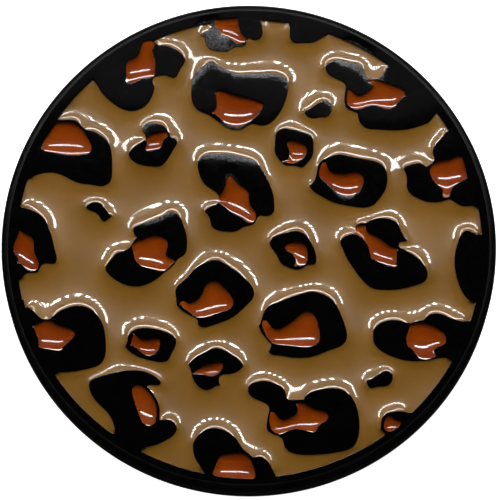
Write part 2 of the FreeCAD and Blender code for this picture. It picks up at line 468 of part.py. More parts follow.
def ring_edges(shape, diameter, height):
    """Names of the full circles of one diameter about the axis, at one height."""
    names = []
    for number, edge in enumerate(shape.Edges, start=1):
        curve = edge.Curve
        if not isinstance(curve, Part.Circle):
            continue
        same_size = abs(curve.Radius - diameter / 2) < MATCH_GAP
        same_height = abs(curve.Center.z - height) < MATCH_GAP
        if same_size and same_height:
            names.append("Edge%d" % number)
    return names


def round_ring(body, name, radius, diameter, height):
    base = body.Tip
    edges = ring_edges(base.Shape, diameter, height)
    if not edges:
        raise ValueError(name + " found no edge")
    feature = body.newObject("PartDesign::Fillet", name)
    feature.Base = (base, edges)
    feature.setExpression("Radius", "Dimensions." + radius)
    doc.recompute()


LANDS = [land for land, pool in SPOTS.values()]
POOLS = {name: pool for name, (land, pool) in SPOTS.items() if pool}
FLOOR = "Dimensions.disc_thickness - Dimensions.well_depth"
FILL = "Dimensions.well_depth - Dimensions.enamel_setback"
WELL = "Dimensions.well_depth"


# ---------------------------------------------------------------- the struck disc
def make_struck_disc():
    body = new_body("struck_disc")

    blank = face_sketch(body, "blank_outline", "0 mm")
    add_circle(blank, "disc_diameter")
    pad(body, blank, "blank", FLOOR)

    rim = face_sketch(body, "rim_outline", FLOOR)
    add_circle(rim, "disc_diameter")
    add_rim_inside(rim)
    pad(body, rim, "raised_rim", WELL)

    lands = face_sketch(body, "spot_outlines", FLOOR)
    add_outlines(lands, LANDS)
    pad(body, lands, "raised_spots", WELL)

    wells = face_sketch(body, "pool_outlines", "Dimensions.disc_thickness")
    add_outlines(wells, POOLS.values())
    pocket(body, wells, "pool_wells", WELL)

    recess = face_sketch(body, "back_recess_outline", "0 mm")
    add_circle(recess, "back_recess_diameter")
    pocket(body, recess, "back_recess", "Dimensions.back_recess_depth", upward=True)

    outside = sheet.get("disc_diameter")
    round_ring(body, "face_edge", "face_edge_radius", outside, sheet.get("disc_thickness"))
    round_ring(body, "back_edge", "back_edge_radius", outside, 0)
    round_ring(body, "recess_edge", "back_recess_radius", sheet.get("back_recess_diameter"), 0)
    return body


# ---------------------------------------------------------------- the enamel
def make_tan_enamel():
    """One connected field of tan round every spot, hard against the metal walls."""
    body = new_body("tan_enamel")

    field = face_sketch(body, "tan_field_outline", FLOOR)
    add_rim_inside(field)
    pad(body, field, "tan_field", FILL)

    spots = face_sketch(body, "tan_spot_outlines", "Dimensions.disc_thickness")
    add_outlines(spots, LANDS)
    pocket(body, spots, "spot_clearances", WELL)
    return body


def make_orange_pool(name, runs):
    label = "orange_" + name
    body = new_body(label)
    outline = face_sketch(body, label + "_outline", FLOOR)
    add_outlines(outline, [runs])
    pad(body, outline, label + "_fill", FILL)
    return body


bodies = [make_struck_disc(), make_tan_enamel()]
for name, runs in POOLS.items():
    bodies.append(make_orange_pool(name, runs))
doc.recompute()

# ---------------------------------------------------------------- checks and export
for thing in doc.Objects:
    if "Invalid" in thing.State or "Error" in thing.State:
        raise RuntimeError("%s is %s" % (thing.Label, thing.State))

for body in bodies:
    shape = body.Shape
    if shape.isNull() or not shape.isValid() or len(shape.Solids) != 1:
        raise RuntimeError(body.Label + " is not one valid solid")
    shape.exportStep("parts/%s.step" % body.Label)
    box = shape.BoundBox
    size = (box.XLength, box.YLength, box.ZLength)
    print("%-28s %7.3f x %7.3f x %6.3f mm, %9.4f mm3" % ((body.Label,) + size + (shape.Volume,)))
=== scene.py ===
import math
import bmesh
import bpy
import numpy as np
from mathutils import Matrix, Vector, noise
from mathutils.geometry import delaunay_2d_cdt
from mathutils.kdtree import KDTree


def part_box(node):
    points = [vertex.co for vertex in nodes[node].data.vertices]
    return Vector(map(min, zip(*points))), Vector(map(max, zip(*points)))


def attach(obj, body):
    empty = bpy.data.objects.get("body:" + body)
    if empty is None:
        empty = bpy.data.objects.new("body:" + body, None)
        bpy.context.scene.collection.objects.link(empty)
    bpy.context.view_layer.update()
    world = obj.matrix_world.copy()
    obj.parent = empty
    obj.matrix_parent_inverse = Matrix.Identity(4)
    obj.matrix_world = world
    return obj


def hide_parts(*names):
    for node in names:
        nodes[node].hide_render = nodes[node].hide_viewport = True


# A struck golf ball marker: black plated metal with tan and orange enamel in its wells.
# The outlines come from the CAD nodes. What is added here is the surface of each piece: the
# enamel creeps up the metal walls as liquid does, and the struck metal has rounded edges.

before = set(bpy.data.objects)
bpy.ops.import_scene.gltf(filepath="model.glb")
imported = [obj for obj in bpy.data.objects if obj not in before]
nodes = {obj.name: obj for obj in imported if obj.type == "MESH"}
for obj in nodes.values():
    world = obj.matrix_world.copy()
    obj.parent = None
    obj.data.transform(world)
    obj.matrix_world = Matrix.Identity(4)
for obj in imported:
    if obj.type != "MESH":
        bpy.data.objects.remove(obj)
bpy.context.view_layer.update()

# ---------------------------------------------------------------- sizes, in mm
MM = 0.001               # in metres
DISC = nodes["struck_disc"]
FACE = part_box("struck_disc")[1].z / MM
WELL_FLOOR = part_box("tan_enamel")[0].z / MM
DISC_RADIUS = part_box("struck_disc")[1].x / MM
RIM_WIDTH = 0.95         # the rim is nowhere wider than this

# The struck metal.
EDGE_ROUND = 0.018       # rounding of the metal at the edge of a well
LAND_SAG = 0.008         # a land is lower by this much at its edge than in its middle
LAND_REACH = 0.50        # how far in from the edge the land still sags
RECESS_ROUND = 0.06      # rounding between the back and the wall of its recess
WORN_BELOW = 0.008       # the face begins to be rubbed dull where it lies lower than this
WORN_FULLY_BELOW = 4 * WORN_BELOW

# Places where the edge of a land is rolled down: x, y, radius and drop.
ROLLED_EDGES = (
    (-1.95, 10.85, 0.9, 0.034),
    (-0.65, 9.2, 1.4, 0.020),
    (1.55, 9.0, 1.2, 0.019),
    (-2.55, 8.9, 0.8, 0.024),
    (-0.95, 4.8, 1.7, 0.025),
    (5.3, 9.7, 1.1, 0.024),
    (6.5, 8.8, 0.7, 0.016),
    (-5.2, 6.3, 0.6, 0.018),
    (-4.6, 1.55, 1.2, 0.018),
    (4.1, 7.3, 0.5, 0.016),
    (4.9, 2.9, 0.9, 0.016),
)

# Both enamels.
WALL_OVERLAP = 0.012     # the enamel reaches this far into the wall
OPEN_EDGE = 2 * WALL_OVERLAP + 0.015  # an edge this close to the other enamel has no wall
THINNEST_ENAMEL = 0.05
RIPPLE_HEIGHT = 0.0025   # slight waves of the surface
RIPPLE_SIZE = 0.9
RIPPLE_SEED = 9.0
CALM_REACH = 1.0         # the waves fade out over this distance to the other enamel

# The tan creeps up the walls to one line all round.
TAN_WET_LINE = 0.020     # its edge at the wall lies this far below the rounded metal edge
TAN_CLIMB = 0.200        # how far it creeps up the wall
TAN_REACH = 0.46         # how far from the wall it still climbs
TAN_UNEVEN = 0.12        # share by which the climb varies from place to place
TAN_UNEVEN_SIZE = 1.3    # size of those places
TAN_SEED = 4.0
NEAR_RIM_SHARE = 0.22    # share of the climb that is left at the near (-Y) half of the rim
FAR_RIM_SHARE = 0.60     # and at the far side
FAR_RIM_FROM = 0.5 * DISC_RADIUS  # the far side starts this far north of the middle

# The orange pools are small, so each is one dish that meets its walls at one slope.
ORANGE_WET_LINE = 0.130  # the edge of a pool lies about this far below the rounded metal edge
ORANGE_SLOPE = 0.37      # slope of the surface where it meets the wall
ORANGE_REACH = 0.50      # how far from the wall it still climbs

# ---------------------------------------------------------------- fineness of the meshes, in mm
STEPS_PER_METRE = 1e7    # places are told apart by this many steps to the metre
SAME_PLACE = 1 / STEPS_PER_METRE
SAME_POINT = 1e-6        # in mm, for the triangles
OUTLINE_STEP = 0.07      # spacing of points along an outline
SAMPLE_STEP = 0.02       # spacing of the samples that distances to an outline are taken from
CORNER_TURN = 38.0       # degrees that an outline turns at a real corner
CORNER_WINDOW = 0.07     # length of outline on each side of a point over which its turn is taken
CORNERS_APART = 1.5 * CORNER_WINDOW

# Rows of points that follow the outlines, each at its distance from them.
ENAMEL_ROWS = (0.022, 0.048, 0.078, 0.115, 0.16, 0.215, 0.28, 0.35, 0.43, 0.52, 0.62)
LAND_ROWS = (0.006, 0.012, 0.018, 0.05, 0.10, 0.17, 0.25, 0.35)
ROW_TRUE = 0.93          # a point of a row stays if no outline is nearer than this share of it
ROW_STEP = 0.62 * OUTLINE_STEP  # least spacing of the points of a row
NEAR_ROW_SHARE = 0.9     # in the rows nearest the outline it is this share of their distance
NEAR_ROW_STEP = 0.01     # and this much more
GRID_STEP = 0.15         # spacing of points in the middle of a region
GRID_GAP = 0.45 * GRID_STEP  # between the last row and the grid

# Rings of the turned parts of the disc.
RIM_STEPS = 720          # points round the outside
FACE_ROUND_RINGS = 9
SIDE_RINGS = 8
BACK_ROUND_RINGS = 7
RECESS_ROUND_RINGS = 5
BORDER_SHARES = (0.66, 0.33)
RECESS_SHARES = (1.0, 0.97, 0.9, 0.8, 0.65, 0.5, 0.35, 0.2, 0.1, 0.04, 0.01)
SHARP_TURN = 50          # degrees between two faces that make the edge between them sharp

# The solver that finds the liquid surfaces.
MOST_ROUNDS = 400
SETTLED = 1e-12          # it stops when what is left to correct is less than this
SMALLEST_AREA = 1e-12    # keeps a flat triangle from dividing by nothing


# ---------------------------------------------------------------- outlines
def flat_loops(obj, height):
    """Closed outlines in mm of a CAD node's flat faces at a height, with the face on their left."""
    mesh = obj.data
    places = {}
    edges = set()
    for face in mesh.polygons:
        corners = [mesh.vertices[i].co for i in face.vertices]
        if any(abs(corner.z - height * MM) > SAME_PLACE for corner in corners):
            continue
        keys = [(round(c.x * STEPS_PER_METRE), round(c.y * STEPS_PER_METRE)) for c in corners]
        for key, corner in zip(keys, corners):
            places[key] = (corner.x / MM, corner.y / MM)
        for start, end in zip(keys, keys[1:] + keys[:1]):
            if start != end:
                edges.add((start, end))
    border = sorted(edge for edge in edges if edge[::-1] not in edges)
    following = {}
    for start, end in border:
        following.setdefault(start, []).append(end)
    loops = []
    for first, _ in border:
        chain = []
        spot = first
        while following.get(spot):
            chain.append(places[spot])
            spot = following[spot].pop()
        if len(chain) > 2:
            loops.append(np.array(chain))
    return loops


def widest(loops):
    return max(loops, key=lambda loop: np.ptp(loop[:, 0]))


def arc_lengths(loop):
    """The distance along a closed outline to each of its points, and its whole length."""
    steps = np.linalg.norm(np.roll(loop, -1, axis=0) - loop, axis=1)
    return np.concatenate([[0.0], np.cumsum(steps)])


def at_length(loop, lengths, wanted):
    """The points of a closed outline at the wanted distances along it."""
    total = lengths[-1]
    closed = np.vstack([loop, loop[:1]])
    wanted = np.mod(wanted, total)
    return np.column_stack([np.interp(wanted, lengths, closed[:, axis]) for axis in (0, 1)])


def real_corners(loop, lengths):
    """The distances along a closed outline at which it turns a real corner."""
    marks = lengths[:-1]
    before = loop - at_length(loop, lengths, marks - CORNER_WINDOW)
    after = at_length(loop, lengths, marks + CORNER_WINDOW) - loop
    cross = before[:, 0] * after[:, 1] - before[:, 1] * after[:, 0]
    dot = (before * after).sum(axis=1)
    turn = np.degrees(np.abs(np.arctan2(cross, dot)))
    corners = []
    for i in np.argsort(-turn):
        if turn[i] < CORNER_TURN:
            break
        apart = [abs(marks[i] - mark) for mark in corners]
        if all(min(gap, lengths[-1] - gap) > CORNERS_APART for gap in apart):
            corners.append(marks[i])
    return sorted(corners)


def even_outline(loop, step):
    """The outline with evenly spaced points: real corners kept, facets smoothed away."""
    lengths = arc_lengths(loop)
    corners = real_corners(loop, lengths)
    stops = corners or [0.0]
    points = []
    loose = []
    for start, end in zip(stops, stops[1:] + [stops[0] + lengths[-1]]):
        count = max(2, round((end - start) / step))
        points.append(at_length(loop, lengths, start + (end - start) * np.arange(count) / count))
        loose += [not corners] + [True] * (count - 1)
    points = np.vstack(points)
    middle = (np.roll(points, 1, axis=0) + np.roll(points, -1, axis=0)) / 2
    points[loose] += 0.5 * (middle - points)[loose]
    return points


def inward(loop):
    """Unit directions from the points of an outline into its region."""
    along = np.roll(loop, -1, axis=0) - np.roll(loop, 1, axis=0)
    along /= np.linalg.norm(along, axis=1)[:, None]
    return np.column_stack([-along[:, 1], along[:, 0]])


def circle(radius, count):
    angle = 2 * math.pi * np.arange(count) / count
    return np.column_stack([radius * np.cos(angle), radius * np.sin(angle)])


def outline_shares(loops):
    """The length of outline that belongs to each of its points, outline after outline."""
    shares = []
    for loop in loops:
        ahead = np.linalg.norm(np.roll(loop, -1, axis=0) - loop, axis=1)
        shares.append((ahead + np.roll(ahead, 1)) / 2)
    return np.concatenate(shares)


def split_by_loop(values, loops):
    """One list of values for each outline, from the values of all their points in turn."""
    stops = np.cumsum([len(loop) for loop in loops])[:-1]
    return np.split(values, stops)


# ---------------------------------------------------------------- meshing a region
class EdgeFinder:
    """Finds the nearest point of a set of outlines, and on which side of it a point lies."""

    def __init__(self, loops):
        samples = []
        ways = []
        for loop in loops:
            lengths = arc_lengths(loop)
            marks = np.arange(0, lengths[-1], SAMPLE_STEP)
            samples.append(at_length(loop, lengths, marks))
            ahead = at_length(loop, lengths, marks + SAMPLE_STEP)
            behind = at_length(loop, lengths, marks - SAMPLE_STEP)
            along = ahead - behind
            ways.append(np.column_stack([-along[:, 1], along[:, 0]]))
        self.samples = np.vstack(samples)
        self.ways = np.vstack(ways)
        self.tree = KDTree(len(self.samples))
        for i, (x, y) in enumerate(self.samples):
            self.tree.insert((x, y, 0), i)
        self.tree.balance()

    def distance(self, points):
        return np.array([self.tree.find((x, y, 0))[2] for x, y in points])

    def inside(self, points):
        nearest = np.array([self.tree.find((x, y, 0))[1] for x, y in points], int)
        side = ((points - self.samples[nearest]) * self.ways[nearest]).sum(axis=1)
        return side > 0


def thin_out(points, gap):
    """Drops each point that comes closer than the gap to one already kept."""
    kept = []
    taken = {}
    for x, y in points:
        column, line = math.floor(x / gap), math.floor(y / gap)
        near = [taken.get((column + i, line + j)) for i in (-1, 0, 1) for j in (-1, 0, 1)]
        if all(p is None or (p[0] - x) ** 2 + (p[1] - y) ** 2 > gap * gap for p in near):
            taken[(column, line)] = (x, y)
            kept.append((x, y))
    return kept


def row_points(loops, finder, row):
    """Points that follow the outlines at a distance from them, thinned out where they crowd."""
    candidates = np.vstack([loop + inward(loop) * row for loop in loops])
    good = finder.distance(candidates) > ROW_TRUE * row
    return thin_out(candidates[good], min(ROW_STEP, NEAR_ROW_SHARE * row + NEAR_ROW_STEP))


def grid_points(loops, finder, margin):
    """Points of an even triangular grid, at more than the margin from the outlines."""
    low = widest(loops).min(axis=0)
    high = widest(loops).max(axis=0)
    points = []
    for i, y in enumerate(np.arange(low[1], high[1], GRID_STEP * math.sqrt(3) / 2)):
        across = np.arange(low[0] + (i % 2) * GRID_STEP / 2, high[0], GRID_STEP)
        line = np.column_stack([across, np.full(len(across), y)])
        line = line[finder.distance(line) > margin]
        points += [tuple(p) for p in line[finder.inside(line)]]
    return points


def inside_walls(triangles, walls):
    """The triangles that can be reached from the left of the walls without crossing one."""
    owner = {}
    for number, (a, b, c) in enumerate(triangles):
        owner[(a, b)] = owner[(b, c)] = owner[(c, a)] = number
    waiting = [owner[wall] for wall in sorted(walls) if wall in owner]
    inside = set()
    while waiting:
        number = waiting.pop()
        if number in inside:
            continue
        inside.add(number)
        a, b, c = triangles[number]
        for start, end in ((a, b), (b, c), (c, a)):
            if (start, end) not in walls and (end, start) not in walls and (end, start) in owner:
                waiting.append(owner[(end, start)])
    return np.array([triangles[number] for number in sorted(inside)])


def triangulate(loops, inner=()):
    """Triangles of the region on the left of its outlines, through the inner points too. Returns
    points, triangles and, for each point of the outlines in turn, its place among the points."""
    border = [tuple(p) for loop in loops for p in loop]
    edges = []
    for loop in loops:
        start = len(edges)
        edges += [(start + i, start + (i + 1) % len(loop)) for i in range(len(loop))]
    corners = [Vector(p) for p in border + list(inner)]
    within_edges = 1
    found = delaunay_2d_cdt(corners, edges, [], within_edges, SAME_POINT)
    points = np.array([(v.x, v.y) for v in found[0]])
    places = np.zeros(len(border), int)
    for place, origins in enumerate(found[3]):
        for i in origins:
            if i < len(border):
                places[i] = place
    walls = {(places[start], places[end]) for start, end in edges}
    triangles = inside_walls(found[2], walls)
    used, renumbered = np.unique(triangles, return_inverse=True)
    return points[used], renumbered.reshape(-1, 3), np.searchsorted(used, places)


def fill_region(loops, rows):
    """A fine triangle mesh of a region: points along its outlines, rows of points that follow
    them at the given distances, and an even grid in the middle."""
    finder = EdgeFinder(loops)
    inner = []
    for row in rows:
        inner += row_points(loops, finder, row)
    inner += grid_points(loops, finder, rows[-1] + GRID_GAP)
    return triangulate(loops, inner)


# ---------------------------------------------------------------- surfaces
def surface_links(points, triangles):
    """The links between neighbouring points: where each starts and ends, and its weight, which
    follows from the angles of the triangles. Also the area that belongs to each point."""
    corner = [points[triangles[:, k]] for k in range(3)]
    starts = []
    ends = []
    weights = []
    area = np.zeros(len(points))
    for k in range(3):
        a, b, c = corner[k], corner[(k + 1) % 3], corner[(k + 2) % 3]
        u, v = a - c, b - c
        double_area = np.abs(u[:, 0] * v[:, 1] - u[:, 1] * v[:, 0]) + SMALLEST_AREA
        starts.append(triangles[:, k])
        ends.append(triangles[:, (k + 1) % 3])
        weights.append(0.5 * (u * v).sum(axis=1) / double_area)
        area += np.bincount(triangles[:, k], double_area / 6, minlength=len(points))
    return np.concatenate(starts), np.concatenate(ends), np.concatenate(weights), area


def liquid_profile(points, triangles, held, reach, pull=0.0):
    """Height of a liquid's surface, which falls off from the held points, and from the points that
    are pulled up, as it does near a wall. Points that aren't held are given as nan."""
    count = len(points)
    starts, ends, weights, area = surface_links(points, triangles)
    diagonal = np.bincount(starts, weights, minlength=count)
    diagonal += np.bincount(ends, weights, minlength=count)
    diagonal += area / reach ** 2

    def stiffness(values):
        across = np.bincount(starts, weights * values[ends], minlength=count)
        across += np.bincount(ends, weights * values[starts], minlength=count)
        return diagonal * values - across

    # Conjugate gradients, with the diagonal as the preconditioner.
    free = np.isnan(held)
    level = np.where(free, 0.0, held)
    residual = np.where(free, pull - stiffness(level), 0.0)
    scaled = residual / diagonal
    heading = scaled.copy()
    energy = residual @ scaled
    for _ in range(MOST_ROUNDS):
        if energy < SETTLED:
            break
        pushed = np.where(free, stiffness(heading), 0.0)
        stride = energy / (heading @ pushed)
        level += stride * heading
        residual -= stride * pushed
        scaled = residual / diagonal
        fresh = residual @ scaled
        heading = scaled + fresh / energy * heading
        energy = fresh
    return level


def ripple(points, size, seed):
    """Smooth noise from about -1 to 1 at each point, with bumps of that size in mm."""
    return np.array([noise.noise((x / size, y / size, seed)) for x, y in points])


def edge_sag(points):
    """How far a land's edge lies below the flat of the face at each point."""
    sag = np.full(len(points), LAND_SAG)
    for x, y, radius, drop in ROLLED_EDGES:
        away = np.hypot(points[:, 0] - x, points[:, 1] - y) / radius
        sag += drop * np.exp(-away ** 4)
    return sag


def face_height(points, triangles, wells, at_rim, at_well):
    """Surface of the metal face: lands that sag to their edges, and rounded edges."""
    gap = EdgeFinder(wells).distance(points)
    gap[at_well] = 0
    held = np.full(len(points), np.nan)
    held[at_well] = edge_sag(points[at_well])
    held[at_rim] = 0
    sag = liquid_profile(points, triangles, held, LAND_REACH)
    inside = np.clip(EDGE_ROUND - gap, 0, None)
    rounding = EDGE_ROUND - np.sqrt(np.clip(EDGE_ROUND ** 2 - inside ** 2, 0, None))
    return FACE - sag - rounding


def tan_height(points, triangles, wall_length):
    """Surface of the tan: it creeps up each wall, but less up the rim, least on the near side."""
    climb = TAN_CLIMB * (1 + TAN_UNEVEN * ripple(points, TAN_UNEVEN_SIZE, TAN_SEED))
    by_rim = np.linalg.norm(points, axis=1) > DISC_RADIUS - RIM_WIDTH
    shares = (NEAR_RIM_SHARE, FAR_RIM_SHARE)
    climb[by_rim] *= np.interp(points[by_rim, 1], (0, FAR_RIM_FROM), shares)
    held = np.where(wall_length > 0, climb - edge_sag(points), np.nan)
    rise = liquid_profile(points, triangles, held, TAN_REACH)
    return FACE - EDGE_ROUND - TAN_WET_LINE - TAN_CLIMB + rise


def orange_height(points, triangles, wall_length):
    """Surface of a pool: a dish that meets its walls at one slope."""
    nothing_held = np.full(len(points), np.nan)
    pull = ORANGE_SLOPE * wall_length
    rise = liquid_profile(points, triangles, nothing_held, ORANGE_REACH, pull)
    height = FACE - EDGE_ROUND - ORANGE_WET_LINE + rise - rise[wall_length > 0].mean()
    highest = FACE - EDGE_ROUND - edge_sag(points) - TAN_WET_LINE
    return np.clip(height, WELL_FLOOR + THINNEST_ENAMEL, highest)


# ---------------------------------------------------------------- building pieces
class Shell:
    """Corners in mm and faces that are gathered for one piece, each face with its material."""

    def __init__(self):
        self.corners = []
        self.faces = []
        self.groups = []

    def add(self, corners, faces, group=0):
        start = len(self.corners)
        self.corners += corners
        self.faces += [tuple(start + i for i in face) for face in faces]
        self.groups += [group] * len(faces)

    def add_surface(self, points, height, triangles):
        self.add([(x, y, z) for (x, y), z in zip(points, height)], triangles)

    def close_below(self, loops, border_heights):
        """Walls from the outlines down to the well floor, and the flat face at the bottom."""
        for loop, heights in zip(loops, border_heights):
            count = len(loop)
            corners = [(x, y, z) for (x, y), z in zip(loop, heights)]
            corners += [(x, y, WELL_FLOOR) for x, y in loop]
            turned = [(i + 1) % count for i in range(count)]
            self.add(corners, [(i, j, count + j, count + i) for i, j in enumerate(turned)])
        points, triangles, _ = triangulate(loops)
        self.add([(x, y, WELL_FLOOR) for x, y in points], triangles)

    def lathe(self, profile, group):
        """A profile of (radius, height) turned round the axis."""
        corners = []
        for radius, height in profile:
            corners += [(x, y, height) for x, y in circle(radius, RIM_STEPS)]
        faces = []
        for ring in range(len(profile) - 1):
            a, b = ring * RIM_STEPS, (ring + 1) * RIM_STEPS
            for i in range(RIM_STEPS):
                j = (i + 1) % RIM_STEPS
                faces.append((a + i, a + j, b + j, b + i))
        self.add(corners, faces, group)

    def close_last_ring(self, group):
        last = len(self.corners) - RIM_STEPS
        self.faces.append(tuple(last + i for i in range(RIM_STEPS)))
        self.groups.append(group)


def make_piece(name, shell, materials):
    """A mesh object from a shell, smooth except at its sharp edges."""
    mesh = bpy.data.meshes.new(name)
    mesh.from_pydata([tuple(c) for c in np.asarray(shell.corners) * MM], [], shell.faces)
    for material in materials:
        mesh.materials.append(material)
    mesh.polygons.foreach_set("material_index", shell.groups)
    soup = bmesh.new()
    soup.from_mesh(mesh)
    bmesh.ops.remove_doubles(soup, verts=soup.verts, dist=SAME_PLACE)
    bmesh.ops.recalc_face_normals(soup, faces=soup.faces)
    soup.to_mesh(mesh)
    soup.free()
    mesh.polygons.foreach_set("use_smooth", [True] * len(mesh.polygons))
    mesh.set_sharp_from_angle(angle=math.radians(SHARP_TURN))
    piece = bpy.data.objects.new(name, mesh)
    bpy.context.scene.collection.objects.link(piece)
    return piece


# ---------------------------------------------------------------- the enamels
def make_enamel(node, material, surface_height, open_to):
    """One enamel fill, its surface shaped by the walls round it, but level where it meets the
    other enamel. Returns its outlines."""
    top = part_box(node)[1].z / MM
    loops = [even_outline(loop, OUTLINE_STEP) for loop in flat_loops(nodes[node], top)]
    loops = [loop - inward(loop) * WALL_OVERLAP for loop in loops]
    points, triangles, border = fill_region(loops, ENAMEL_ROWS)
    at_wall = open_to.distance(points[border]) > OPEN_EDGE
    wall_length = np.zeros(len(points))
    wall_length[border[at_wall]] = outline_shares(loops)[at_wall]
    height = surface_height(points, triangles, wall_length)
    calm = np.clip(open_to.distance(points) / CALM_REACH, 0, 1)
    height += RIPPLE_HEIGHT * ripple(points, RIPPLE_SIZE, RIPPLE_SEED) * calm
    shell = Shell()
    shell.add_surface(points, height, triangles)
    shell.close_below(loops, split_by_loop(height[border], loops))
    piece = make_piece(node + "_fill", shell, [material])
    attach(piece, "root")
    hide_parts(node)
    return loops


# ---------------------------------------------------------------- the struck disc
def rounded(centre, radius, start, end, count):
    """Points of a rounding, as (radius, height), between two angles in degrees."""
    angles = np.radians(np.linspace(start, end, count))
    return [(centre[0] + radius * math.cos(a), centre[1] + radius * math.sin(a)) for a in angles]


def side_profile(flat_radius, back_round):
    """The outside of the disc as (radius, height), from the flat of the face to the back."""
    face_round = DISC_RADIUS - flat_radius
    face_corner = (flat_radius, FACE - face_round)
    back_corner = (DISC_RADIUS - back_round, back_round)
    profile = rounded(face_corner, face_round, 90, 0, FACE_ROUND_RINGS)
    wall = np.linspace(FACE - face_round, back_round, SIDE_RINGS)[1:-1]
    profile += [(DISC_RADIUS, z) for z in wall]
    profile += rounded(back_corner, back_round, 0, -90, BACK_ROUND_RINGS)
    return profile


def back_profile(start, recess_edge, recess_depth):
    """The back as (radius, height), from the end of the outside nearly to the axis."""
    border = start[0] - recess_edge
    corner = (recess_edge, RECESS_ROUND)
    profile = [start] + [(recess_edge + share * border, 0.0) for share in BORDER_SHARES]
    profile += rounded(corner, RECESS_ROUND, -90, -180, RECESS_ROUND_RINGS)
    floor_radius = recess_edge - RECESS_ROUND
    profile += [(floor_radius * share, recess_depth) for share in RECESS_SHARES]
    return profile


def measure_back():
    """Inner and outer radius of the flat border on the CAD's back, and the recess's depth."""
    radii = [np.linalg.norm(loop, axis=1).mean() for loop in flat_loops(DISC, 0.0)]
    inner, outer = min(radii), max(radii)
    levels = [v.co.z for v in DISC.data.vertices if v.co.xy.length < inner * MM]
    depth = max(z for z in levels if z < FACE / 2 * MM) / MM
    return inner, outer, depth


def make_struck_disc(materials):
    """The struck metal; its materials are for the face, the side and the back."""
    loops = flat_loops(DISC, FACE)
    outer = widest(loops)
    flat_radius = np.linalg.norm(outer, axis=1).max()
    wells = [even_outline(loop, OUTLINE_STEP) for loop in loops if loop is not outer]
    rim = circle(flat_radius, RIM_STEPS)
    points, triangles, border = fill_region([rim] + wells, LAND_ROWS)
    at_rim, at_well = border[:RIM_STEPS], border[RIM_STEPS:]
    height = face_height(points, triangles, wells, at_rim, at_well)
    shell = Shell()
    shell.add_surface(points, height, triangles)

    # Turned round, the outlines have the wells on their left, and not the lands.
    well_outlines = [loop[::-1] for loop in wells]
    well_heights = [heights[::-1] for heights in split_by_loop(height[at_well], wells)]
    shell.close_below(well_outlines, well_heights)

    recess_edge, border_edge, recess_depth = measure_back()
    side = side_profile(flat_radius, DISC_RADIUS - border_edge)
    shell.lathe(side, 1)
    shell.lathe(back_profile(side[-1], recess_edge, recess_depth), 2)
    shell.close_last_ring(2)
    piece = make_piece("struck_metal", shell, materials)
    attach(piece, "root")
    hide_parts("struck_disc")


# ---------------------------------------------------------------- materials
# Places of a colour Mix node's sockets, since their names stand for several.
MIX_FIRST = 6
MIX_SECOND = 7
MIX_RESULT = 2

# Sizes of the patterns in the enamels, in mm.
CLOUD_SIZE = 2.6         # drifts of the colour
GRAIN_SIZE = 0.06        # fine grain of the colour
SOFT_GLOSS_SIZE = 0.5    # patches of softer and sharper gloss
WAVE_SIZE = 0.35         # faint waves of the skin
WAVE_HEIGHT = 0.0007

# And in the black plating.
STAIN_SIZE = 0.9         # drifts of the colour
GLOSS_SIZE = 0.25        # patches of softer and sharper gloss
TATTER_SIZE = 0.22       # ragged edges of the rubbed patches
SCUFF_SIZE = 0.13        # scuffs inside them
PEEL_SIZE = 0.45         # coarse orange peel
FINE_PEEL_SIZE = 0.09
FINE_PEEL_SHARE = 0.3    # height of the fine orange peel, as a share of the coarse one's


